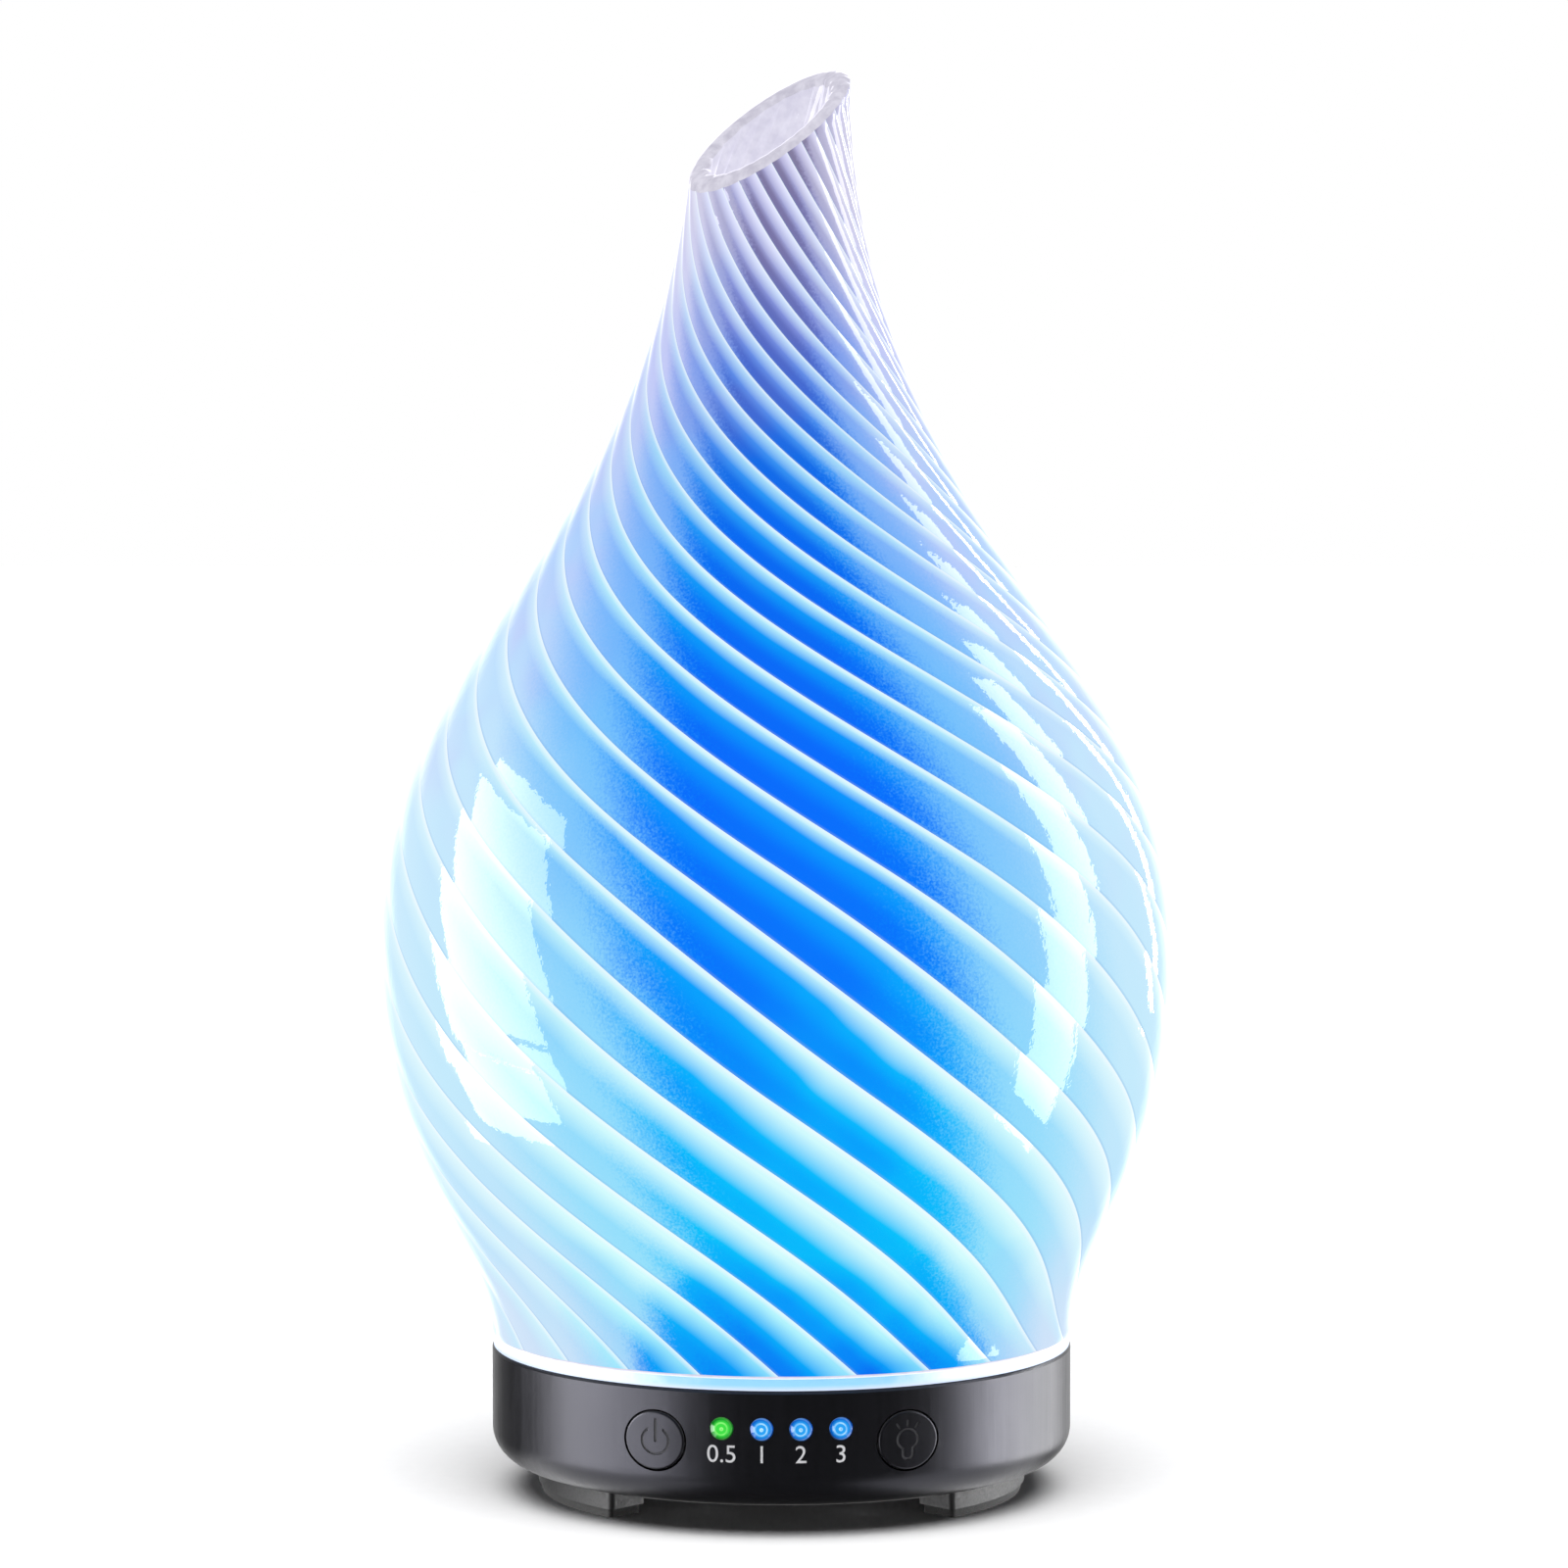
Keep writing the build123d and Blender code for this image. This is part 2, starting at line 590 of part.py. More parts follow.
# ---- build -------------------------------------------------------------------------------------------
def nodes():
    made = {
        "glass_cover": glass_cover(),
        "inner_cover": inner_cover(),
        "water_tank": water_tank(),
        "light_ring": light_ring(),
        "tank_posts": tank_posts(),
        "mist_well": mist_well(),
        "fan_collar": fan_collar(),
        "air_duct": air_duct(),
        "tank_gasket": tank_gasket(),
        "base_housing": base_housing(),
        "bottom_cover": bottom_cover(),
        "foot_pads": foot_pads(),
        "cover_screws": cover_screws(),
        "piezo_disc": piezo_disc(),
        "transducer_seal": transducer_seal(),
        "transducer_retainer": transducer_retainer(),
        "retainer_screws": retainer_screws(),
        "main_board": main_board(),
        "board_screws": board_screws(),
        "colour_lights": colour_lights(),
        "drive_coil": drive_coil(),
        "capacitors": capacitors(),
        "controller_chips": controller_chips(),
        "board_plugs": board_plugs(),
        "power_socket_shell": jack_shell(),
        "power_socket_pin": jack_pin(),
        "fan_frame": fan_frame(),
        "fan_stator": fan_stator(),
        "fan_rotor": fan_rotor(),
        "fan_magnet": fan_magnet(),
        "fan_shaft": fan_shaft(),
        "fan_screws": fan_screws(),
        "control_board": control_board(),
        "panel_screws": panel_screws(),
        "indicator_lights": indicator_lights(),
        "fan_lead": fan_lead(),
        "mist_lead": mist_lead(),
        "panel_lead": panel_lead(),
    }
    for name, x, icon in (("power", -BUTTON_X, power_symbol()), ("light", BUTTON_X, bulb_symbol())):
        made[f"{name}_button"] = button_cap(x, icon)
        made[f"{name}_switch_body"] = switch_body(x)
        made[f"{name}_switch_plunger"] = switch_plunger(x)
    for name, x in LENS_X.items():
        made[f"{name}_lens"] = lens(x)
    return made


def main():
    os.makedirs("parts", exist_ok=True)
    for name, shape in nodes().items():
        solids = shape if isinstance(shape, list) else [shape]
        loose = [s for item in solids for s in item.solids()]
        export_step(Compound(children=loose) if len(loose) > 1 else loose[0], f"parts/{name}.step")


main()
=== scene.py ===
import json
from math import cos, hypot, pi, radians, sin

import bmesh
import bpy
import numpy as np
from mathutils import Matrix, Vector


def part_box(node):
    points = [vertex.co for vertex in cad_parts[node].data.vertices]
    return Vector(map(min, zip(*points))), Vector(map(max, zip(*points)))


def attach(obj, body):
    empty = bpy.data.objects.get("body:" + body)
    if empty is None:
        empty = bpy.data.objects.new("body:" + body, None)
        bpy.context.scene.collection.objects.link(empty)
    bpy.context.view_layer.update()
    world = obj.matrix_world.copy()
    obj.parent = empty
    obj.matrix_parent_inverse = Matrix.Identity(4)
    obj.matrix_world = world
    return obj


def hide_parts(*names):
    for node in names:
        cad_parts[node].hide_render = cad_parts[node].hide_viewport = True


# The looks of an ultrasonic oil diffuser: ribbed glass lit from below, on a black base with four small
# lights. Metres. The buttons face -Y.

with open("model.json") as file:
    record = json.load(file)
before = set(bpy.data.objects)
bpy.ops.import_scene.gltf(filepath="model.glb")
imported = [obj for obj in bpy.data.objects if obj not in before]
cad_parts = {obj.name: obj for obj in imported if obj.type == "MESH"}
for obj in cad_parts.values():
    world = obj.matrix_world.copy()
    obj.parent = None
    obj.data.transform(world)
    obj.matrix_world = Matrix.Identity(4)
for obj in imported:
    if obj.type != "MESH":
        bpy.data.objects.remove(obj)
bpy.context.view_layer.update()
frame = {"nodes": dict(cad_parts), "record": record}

MM = 0.001

# ---- the glass ---------------------------------------------------------------------------------------
RIBS = 24
RIB_STEPS = 12  # columns of faces across one rib
OUTER_RIB = 0.2 * MM  # how far a rib's middle stands out from its creases on the outside
INNER_RIB = 0.9 * MM  # and how far it stands into the glass on the inside, on the belly
RIB_WIDEST = 16.3 * MM  # width of a rib there
OUTER_SINK = 0.7  # share of a rib's height that lies inside the CAD wall on the outside
INNER_SINK = 0.4  # and inside the CAD wall's hollow on the inside
WALL_STEP = 2.4 * MM  # least difference in height between two points taken from the CAD wall
LEVEL_ROWS = 170  # rows of faces below the mouth, which lie level
MOUTH_ROWS = 34  # rows of faces that lean over towards the slanted mouth
LEVEL_TOP = 178 * MM
INNER_ROWS = 56
LIP_ROWS = 6
LIP_HEIGHT = 0.8 * MM
FOOT_HEIGHT = 0.5 * MM
# How far the ribs have turned (degrees) at each height (mm).
TWIST = [(20, -22), (36, 0), (70, 46), (105, 90), (133, 136), (160, 193), (191, 269), (232, 371)]
# How far the blown glass leans towards -X (mm) at each height (mm).
LEAN = [
    (25, 0), (32, 0.1), (49, 0.5), (67, 0.8), (85, 1), (105, 1.15), (123, 1.35), (142, 1.6), (160, 1.6),
    (178, 1.45), (195, 1.4), (232, 1.4),
]

# The painted glow of a rib, standing in for the LEDs' light in the glass, at heights from 0 at the foot to 1
# at the tip: deep and azure at the front and back, pale beside its crease as a painted highlight, and a
# painted pale sheen towards the object's sides, near the middle and far from it.
DEEP = [
    (0.0, (0.0, 0.17, 0.9)), (0.045, (0.0, 0.3, 0.96)), (0.1, (0.0, 0.49, 0.96)), (0.16, (0.0, 0.44, 0.97)),
    (0.24, (0.0, 0.28, 0.97)), (0.32, (0.0, 0.18, 0.97)), (0.47, (0.0, 0.145, 0.97)),
    (0.63, (0.0, 0.14, 0.88)), (0.7, (0.005, 0.145, 0.78)), (0.766, (0.075, 0.14, 0.58)),
    (0.828, (0.145, 0.165, 0.46)), (0.889, (0.2, 0.18, 0.37)), (0.93, (0.23, 0.205, 0.345)),
    (1.0, (0.3, 0.27, 0.4)),
]
AZURE = [
    (0.0, (0.0, 0.36, 0.95)), (0.1, (0.0, 0.56, 0.97)), (0.2, (0.0, 0.52, 0.98)), (0.32, (0.0, 0.36, 0.98)),
    (0.45, (0.0, 0.3, 0.98)), (0.58, (0.0, 0.32, 0.95)), (0.66, (0.02, 0.32, 0.93)),
    (0.72, (0.06, 0.27, 0.87)), (0.8, (0.2, 0.27, 0.73)), (0.86, (0.33, 0.36, 0.7)),
    (0.93, (0.42, 0.4, 0.64)), (1.0, (0.5, 0.47, 0.65)),
]
# The pale side of a rib, beside its crease, is a painted highlight.
PALE = [
    (0.0, (0.2, 0.68, 0.97)), (0.05, (0.45, 0.9, 0.98)), (0.1, (0.66, 0.97, 0.98)), (0.2, (0.63, 0.95, 0.98)),
    (0.3, (0.54, 0.89, 0.97)), (0.6, (0.45, 0.82, 0.97)), (0.7, (0.36, 0.69, 0.95)),
    (0.766, (0.45, 0.67, 0.95)), (0.828, (0.6, 0.73, 0.97)), (0.889, (0.73, 0.75, 0.98)),
    (0.93, (0.7, 0.69, 0.93)), (1.0, (0.76, 0.74, 0.93)),
]
# Painted sheen: paler colours towards the object's sides, standing in for white surroundings seen at a slant.
NEAR_SIDE_SHEEN = [
    (0.0, (0.3, 0.62, 0.96)), (0.1, (0.3, 0.74, 0.96)), (0.24, (0.27, 0.69, 0.97)),
    (0.32, (0.25, 0.64, 0.97)), (0.4, (0.21, 0.57, 0.97)), (0.5, (0.17, 0.52, 0.97)),
    (0.6, (0.17, 0.45, 0.96)), (0.7, (0.2, 0.42, 0.92)), (0.766, (0.22, 0.34, 0.82)),
    (0.828, (0.34, 0.38, 0.7)), (0.889, (0.43, 0.42, 0.63)), (1.0, (0.5, 0.48, 0.64)),
]
FAR_SIDE_SHEEN = [
    (0.0, (0.62, 0.76, 0.94)), (0.1, (0.5, 0.77, 0.96)), (0.24, (0.55, 0.82, 0.97)),
    (0.45, (0.56, 0.8, 0.98)), (0.55, (0.48, 0.7, 0.98)), (0.63, (0.42, 0.62, 0.97)),
    (0.7, (0.48, 0.61, 0.93)), (0.766, (0.54, 0.59, 0.92)), (0.828, (0.64, 0.65, 0.88)),
    (0.889, (0.62, 0.6, 0.78)), (1.0, (0.66, 0.64, 0.78)),
]
# How far across a rib its pale side, a painted highlight, reaches, at the same heights.
PALE_REACH = [
    (0.0, 0.38), (0.1, 0.48), (0.2, 0.44), (0.3, 0.28), (0.45, 0.22), (0.6, 0.29), (0.7, 0.35),
    (0.766, 0.34), (0.85, 0.42), (1.0, 0.48),
]

# ---- printed and lit details -------------------------------------------------------------------------
NUMERALS = {"half_hour_lens": "0.5", "one_hour_lens": "1", "two_hour_lens": "2", "three_hour_lens": "3"}
NUMERAL_HEIGHT = 2.7 * MM
FONT_SCALE = 1.42  # a font's size for each unit of a numeral's height
NUMERAL_DROP = 4.0 * MM  # from the lens's axis down to the middle of its numeral
INK = 0.03 * MM

# ---- studio ------------------------------------------------------------------------------------------
CAMERA_SIDE = 0.0004
CAMERA_DISTANCE = 1.0
CAMERA_HEIGHT = 0.1952
CAMERA_DIP = 4.75  # degrees below level
LENS_MM = 145.65
# Upright panels that show in the gloss: azimuth (degrees from the front towards +X), distance, bottom, top
# and width (m), radiance, and how far the top leans to the right (degrees). The base has its own set.
PANELS = {
    "window_left": (-83, 0.266, 0.004, 0.225, 0.183, 6.5, 0),
    "window_low": (-66, 0.104, 0.032, 0.058, 0.055, 6.5, 0),
    "window_right": (89, 0.303, -0.07, 0.38, 0.095, 7.0, 17),
    "strip_right": (131, 0.32, 0.03, 0.32, 0.02, 20.0, 0),
}
BASE_PANELS = {
    "base_left": (-66, 0.266, -0.1, 0.05, 0.27, 4.8, 0),
    "base_right": (97, 0.3, -0.1, 0.05, 0.13, 7.0, 0),
    "base_far_right": (122, 0.3, -0.1, 0.05, 0.15, 4.0, 0),
}


# ---- node trees --------------------------------------------------------------------------------------
class Nodes:
    """A node tree and short ways to add to it."""

    def __init__(self, tree):
        self.tree = tree
        tree.nodes.clear()

    def add(self, kind, **settings):
        node = self.tree.nodes.new(kind)
        for key, value in settings.items():
            setattr(node, key, value)
        return node

    def feed(self, socket, value):
        """Links a socket to another, or sets it to a number or colour."""
        if isinstance(value, bpy.types.NodeSocket):
            self.tree.links.new(value, socket)
        elif isinstance(value, tuple) and len(value) == 3 and len(socket.default_value) == 4:
            socket.default_value = (*value, 1.0)
        else:
            socket.default_value = value

    def node(self, kind, inputs, **settings):
        made = self.add(kind, **settings)
        for key, value in inputs.items():
            self.feed(made.inputs[key], value)
        return made

    def position(self, stretch=(1, 1, 1)):
        """The point's place on the object, in millimetres, stretched along each axis."""
        place = self.add("ShaderNodeTexCoord").outputs["Object"]
        scale = tuple(1000 * s for s in stretch)
        inputs = {"Vector": place, "Scale": scale}
        return self.node("ShaderNodeMapping", inputs).outputs[0]

    def noise(self, vector, scale, detail=3.0, roughness=0.55):
        inputs = {"Vector": vector, "Scale": scale, "Detail": detail, "Roughness": roughness}
        return self.node("ShaderNodeTexNoise", inputs).outputs["Fac"]

    def calc(self, operation, a, b=0.0, c=0.0):
        made = self.add("ShaderNodeMath", operation=operation)
        for socket, value in zip(made.inputs, (a, b, c)):
            self.feed(socket, value)
        return made.outputs[0]

    def radius(self, a, b):
        squares = self.calc("ADD", self.calc("MULTIPLY", a, a), self.calc("MULTIPLY", b, b))
        return self.calc("SQRT", squares)

    def spread(self, value, low, high, to_low=0.0, to_high=1.0, smooth=False):
        """Maps the range low..high to another range, held at its ends."""
        kind = "SMOOTHSTEP" if smooth else "LINEAR"
        inputs = {"Value": value, "From Min": low, "From Max": high, "To Min": to_low, "To Max": to_high}
        return self.node("ShaderNodeMapRange", inputs, interpolation_type=kind).outputs[0]

    def blend(self, factor, a, b, mode="MIX"):
        made = self.add("ShaderNodeMix", data_type="RGBA", blend_type=mode)
        for socket, value in ((made.inputs[0], factor), (made.inputs[6], a), (made.inputs[7], b)):
            self.feed(socket, value)
        return made.outputs[2]

    def ramp(self, factor, stops):
        made = self.node("ShaderNodeValToRGB", {"Fac": factor})
        elements = made.color_ramp.elements
        while len(elements) < len(stops):
            elements.new(0.5)
        for element, (place, colour) in zip(elements, stops):
            element.position = place
            element.color = (*colour, 1.0)
        return made.outputs["Color"]

    def bump(self, height, distance, strength=1.0):
        inputs = {"Height": height, "Distance": distance, "Strength": strength}
        return self.node("ShaderNodeBump", inputs).outputs[0]

    def split(self, vector):
        return self.node("ShaderNodeSeparateXYZ", {"Vector": vector}).outputs

    def mix_value(self, factor, a, b):
        made = self.add("ShaderNodeMix", data_type="FLOAT")
        for socket, value in zip((made.inputs[0], made.inputs[2], made.inputs[3]), (factor, a, b)):
            self.feed(socket, value)
        return made.outputs[0]


class Shader(Nodes):
    """One material and the nodes it is built from."""

    def __init__(self, name):
        self.material = bpy.data.materials.new(name)
        self.material.use_nodes = True
        super().__init__(self.material.node_tree)
        self.output = self.add("ShaderNodeOutputMaterial")

    def principled(self, **values):
        """A Principled shader; a socket's name is written with underscores."""
        inputs = {key.replace("_", " "): value for key, value in values.items()}
        return self.node("ShaderNodeBsdfPrincipled", inputs).outputs[0]

    def finish(self, surface):
        self.tree.links.new(surface, self.output.inputs["Surface"])
        return self.material

    def turned_aside(self, grain=0.0, lead=0.0):
        """How far a wall turns away from the front or back of the object, whatever its slope: 0 for a wall
        that faces straight ahead and 1 at the two sides. A lead moves the middle towards +X."""
        side, front, rise = self.split(self.add("ShaderNodeTexCoord").outputs["Normal"])
        level = self.calc("SUBTRACT", 1.0, self.calc("MULTIPLY", rise, rise))
        level = self.calc("SQRT", self.calc("MAXIMUM", level, 0.1))
        ahead = self.calc("ADD", self.calc("ABSOLUTE", front), self.calc("MULTIPLY", side, lead))
        turned = self.calc("DIVIDE", ahead, level)
        return self.calc("ADD", self.calc("SUBTRACT", 1.0, turned), grain)


def shade(colour, factor):
    """A colour made lighter or darker by a factor."""
    return tuple(min(1.0, c * factor) for c in colour)


# ---- materials ---------------------------------------------------------------------------------------
def moulded(name, colour, roughness=0.45, grain=0.012 * MM, cell=2.2, coat=0.0, variation=0.12):
    """Injection-moulded plastic: fine grain, faint flow marks and slightly uneven gloss."""
    s = Shader(name)
    place = s.position()
    flow = s.noise(place, 0.12, 2.0)
    fine = s.noise(place, cell, 4.0)
    tint = s.blend(flow, shade(colour, 1 - variation), shade(colour, 1 + variation))
    gloss = s.spread(fine, 0.3, 0.7, roughness * 0.85, roughness * 1.15)
    surface = s.principled(
        Base_Color=tint, Roughness=gloss, Normal=s.bump(fine, grain), Coat_Weight=coat, Coat_Roughness=0.12
    )
    return s.finish(surface)


def rubber(name, colour, roughness=0.75):
    """Matt rubber with a dusty bloom in its pores."""
    s = Shader(name)
    place = s.position()
    pores = s.noise(place, 3.5, 5.0, 0.7)
    bloom = s.noise(place, 0.35, 3.0)
    dust = s.calc("MULTIPLY", s.spread(bloom, 0.4, 0.75), s.spread(pores, 0.45, 0.7))
    tint = s.blend(dust, colour, tuple(min(1.0, c + 0.05) for c in colour))
    surface = s.principled(Base_Color=tint, Roughness=roughness, Normal=s.bump(pores, 0.03 * MM))
    return s.finish(surface)


def silicone(name):
    s = Shader(name)
    place = s.position()
    cloud = s.noise(place, 0.5, 3.0)
    tint = s.blend(cloud, (0.42, 0.45, 0.48), (0.54, 0.56, 0.58))
    surface = s.principled(
        Base_Color=tint, Roughness=s.spread(cloud, 0.3, 0.7, 0.35, 0.5), Subsurface_Weight=0.3,
        Subsurface_Scale=0.8 * MM, Normal=s.bump(s.noise(place, 4.0), 0.01 * MM),
    )
    return s.finish(surface)


def metal(name, colour, roughness=0.3, stretch=(1, 1, 1), scratch=6.0, tarnish=0.25):
    """Bare or plated metal with drawn scratches and a little tarnish."""
    s = Shader(name)
    scratches = s.noise(s.position(stretch), scratch, 5.0, 0.65)
    stain = s.noise(s.position(), 0.4, 4.0)
    tint = s.blend(s.spread(stain, 0.5, 0.8, 0.0, tarnish), colour, shade(colour, 0.45))
    gloss = s.spread(scratches, 0.3, 0.7, roughness * 0.7, roughness * 1.3)
    surface = s.principled(
        Base_Color=tint, Metallic=1.0, Roughness=gloss, Normal=s.bump(scratches, 0.008 * MM)
    )
    return s.finish(surface)


def circuit_board(name):
    """Green solder mask over copper tracks, with tinned vias."""
    s = Shader(name)
    place = s.position()
    weave = s.noise(place, 1.8, 2.0)
    tracks = s.node("ShaderNodeTexBrick", {
        "Vector": place, "Scale": 0.32, "Mortar Size": 0.022, "Mortar Smooth": 0.3, "Brick Width": 0.9,
        "Row Height": 0.42,
    }, offset=0.37, squash=0.6, squash_frequency=3).outputs["Fac"]
    cells = s.node("ShaderNodeTexVoronoi", {"Vector": place, "Scale": 0.27}).outputs["Distance"]
    via = s.spread(cells, 0.1, 0.12, 1.0, 0.0)
    mask = s.blend(weave, (0.008, 0.11, 0.045), (0.012, 0.15, 0.06))
    mask = s.blend(tracks, mask, (0.02, 0.24, 0.1))
    tint = s.blend(via, mask, (0.72, 0.7, 0.66))
    height = s.calc("ADD", tracks, s.calc("MULTIPLY", via, 0.6))
    surface = s.principled(
        Base_Color=tint, Metallic=via, Roughness=s.spread(weave, 0.3, 0.7, 0.26, 0.36),
        Normal=s.bump(height, 0.03 * MM), Coat_Weight=0.3, Coat_Roughness=0.15,
    )
    return s.finish(surface)


def wound_wire(name, colour, pitch):
    """Turns of enamelled wire, wound about an upright axis, with painted shade in the grooves between them.
    """
    s = Shader(name)
    turns = s.node("ShaderNodeTexWave", {
        "Vector": s.position(), "Scale": 1 / pitch, "Distortion": 0.4, "Detail": 1.0, "Detail Scale": 0.6,
    }, bands_direction="Z", wave_profile="SIN").outputs["Fac"]
    # Painted shade: the grooves between the turns are darker.
    tint = s.blend(turns, shade(colour, 0.35), colour)
    surface = s.principled(
        Base_Color=tint, Metallic=0.85, Roughness=0.32, Normal=s.bump(turns, 0.08 * MM), Coat_Weight=0.5,
        Coat_Roughness=0.08,
    )
    return s.finish(surface)


def insulated(name, colour):
    """Thin insulation over strands whose lay shows faintly through it."""
    s = Shader(name)
    strands = s.node("ShaderNodeTexWave", {
        "Vector": s.position(), "Scale": 0.9, "Distortion": 0.6, "Detail": 1.0,
    }, bands_direction="DIAGONAL").outputs["Fac"]
    grime = s.noise(s.position(), 0.9, 3.0)
    tint = s.blend(grime, shade(colour, 0.75), shade(colour, 1.1))
    surface = s.principled(Base_Color=tint, Roughness=0.42, Normal=s.bump(strands, 0.03 * MM))
    return s.finish(surface)


def led_package(name):
    """White reflector cup round a yellow phosphor window."""
    s = Shader(name)
    place = s.position()
    cloud = s.noise(place, 1.6, 3.0)
    cells = s.spread(s.split(place)[2], 19.1, 19.3)
    tint = s.blend(cloud, (0.84, 0.74, 0.34), (0.95, 0.88, 0.55))
    tint = s.blend(cells, tint, (0.86, 0.87, 0.84))
    surface = s.principled(
        Base_Color=tint, Roughness=0.3, Normal=s.bump(cloud, 0.01 * MM), Emission_Color=(0.35, 0.65, 1.0),
        Emission_Strength=0.6,
    )
    return s.finish(surface)


def brushed_black(name, darkness=1.0, streak=1.0, face=None):
    """Satin black plastic, brushed upright in fine uneven streaks. Below a face's radius (mm) about the
    upright axis it is left matt and painted lighter grey, a painted highlight standing in for the light that
    the walls of the symbols cut into the buttons catch."""
    s = Shader(name)
    broad = s.noise(s.position((1, 1, 0.03)), 1.1, 3.0, 0.6)
    hair = s.noise(s.position((1, 1, 0.02)), 5.0, 4.0, 0.7)
    worn = s.noise(s.position(), 0.22, 3.0)
    streaks = s.calc("ADD", s.calc("MULTIPLY", broad, 0.55), s.calc("MULTIPLY", hair, 0.45))
    tint = s.blend(streaks, (0.003 * darkness,) * 3, (0.007 * darkness, 0.007 * darkness, 0.009 * darkness))
    gloss = s.spread(s.calc("ADD", streaks, s.calc("MULTIPLY", worn, 0.25)), 0.4, 0.85, 0.28, 0.42)
    if face:
        x, y, _ = s.split(s.position())
        cut = s.spread(s.radius(x, y), face - 0.26, face - 0.18, 1.0, 0.0)
        # Painted highlight: the cut symbols are a lighter grey, as well as matt.
        tint = s.blend(cut, tint, (0.1, 0.1, 0.105))
        gloss = s.mix_value(cut, gloss, 0.6)
    surface = s.principled(
        Base_Color=tint, Roughness=gloss, Specular_Tint=(0.84, 0.84, 1.0),
        Normal=s.bump(hair, 0.01 * MM * streak),
    )
    return s.finish(surface)


def translucent_tank(name):
    """Milky moulding with the LEDs' light in it."""
    s = Shader(name)
    place = s.position()
    cloud = s.noise(place, 0.18, 3.0)
    grain = s.noise(place, 2.5, 4.0)
    tint = s.blend(cloud, (0.44, 0.5, 0.56), (0.54, 0.6, 0.65))
    surface = s.principled(
        Base_Color=tint, Roughness=s.spread(grain, 0.3, 0.7, 0.32, 0.46), Normal=s.bump(grain, 0.01 * MM),
        Subsurface_Weight=0.25, Subsurface_Scale=2 * MM, Emission_Color=(0.45, 0.7, 1.0),
        Emission_Strength=0.1,
    )
    return s.finish(surface)


def lit_ring(name):
    """Frosted light guide with a painted glow: azure at the front and back, white at the sides and duller
    towards its foot.
    """
    s = Shader(name)
    place = s.position()
    cloud = s.noise(place, 0.3, 3.0)
    depth = s.turned_aside(s.spread(cloud, 0.3, 0.7, -0.02, 0.02))
    # Painted glow: azure where the ring faces front or back, white at its sides.
    glow = s.blend(s.spread(depth, 0.02, 0.2, smooth=True), (0.1, 0.48, 0.95), (0.84, 0.88, 0.96))
    glow = s.blend(s.spread(s.split(place)[2], 23.3, 24.0, 1.0, 0.0), glow, (0.5, 0.6, 0.8))
    surface = s.principled(
        Base_Color=(0.25, 0.28, 0.3), Roughness=s.spread(cloud, 0.3, 0.7, 0.4, 0.55), Emission_Color=glow,
        Emission_Strength=0.95, Normal=s.bump(s.noise(place, 2.5, 4.0), 0.01 * MM),
    )
    return s.finish(surface)


def indicator(name, axis, deep, bright, core):
    """Domed light guide lit from behind, about its own level axis at (x, z) in millimetres."""
    s = Shader(name)
    place = s.position()
    x, _, z = s.split(place)
    dx = s.calc("SUBTRACT", x, axis[0])
    radius = s.radius(dx, s.calc("SUBTRACT", z, axis[1]))
    rings = s.calc("SINE", s.calc("MULTIPLY", s.calc("ADD", radius, s.calc("MULTIPLY", dx, 0.12)), 8.5))
    haze = s.noise(place, 1.4, 3.0)
    body = s.blend(s.spread(radius, 0.95, 1.66, smooth=True), bright, deep)
    lit = s.calc("MULTIPLY", s.spread(rings, 0.2, 0.8), s.spread(radius, 0.6, 1.4, 1.0, 0.2))
    lit = s.calc("MULTIPLY", lit, s.spread(haze, 0.35, 0.6, 0.5, 1.0))
    glow = s.blend(lit, body, core)
    surface = s.principled(
        Base_Color=shade(deep, 0.4), Roughness=0.08, Emission_Color=glow, Emission_Strength=1.0,
        Normal=s.bump(rings, 0.02 * MM), Coat_Weight=1.0, Coat_Roughness=0.03,
    )
    return s.finish(surface)


def rib_body(s, across, height, cloud, depth, reach):
    """The painted glow of a rib's body, azure and then deep, and that of its pale side, a painted highlight.
    Both turn to a painted pale sheen towards the object's sides."""
    settled = s.spread(across, reach, 0.8, smooth=True)
    settled = s.calc("MULTIPLY", settled, s.spread(depth, 0.02, 0.09, 1.0, 0.4))
    body = s.blend(settled, s.ramp(height, AZURE), s.ramp(height, DEEP))
    wider = s.spread(height, 0.0, 0.09, 0.1, 0.0)
    nearby = s.spread(s.calc("SUBTRACT", depth, wider), 0.036, 0.145, smooth=True)
    body = s.blend(nearby, body, s.ramp(height, NEAR_SIDE_SHEEN))
    # Painted sheen towards the object's sides, with random lilac patches in it.
    lilac = s.calc("MULTIPLY", s.spread(cloud, 0.4, 0.6), s.spread(height, 0.35, 0.55, 0.0, 0.4))
    far_side_sheen = s.blend(lilac, s.ramp(height, FAR_SIDE_SHEEN), (0.58, 0.6, 0.95))
    beyond = s.spread(depth, 0.118, 0.45, smooth=True)
    whiter_side_sheen = s.blend(0.5, far_side_sheen, (1.0, 1.0, 1.0))
    # The pale side is a painted highlight, whiter towards the object's sides.
    pale = s.blend(s.calc("MULTIPLY", beyond, 0.6), s.ramp(height, PALE), whiter_side_sheen)
    return s.blend(beyond, body, far_side_sheen), pale


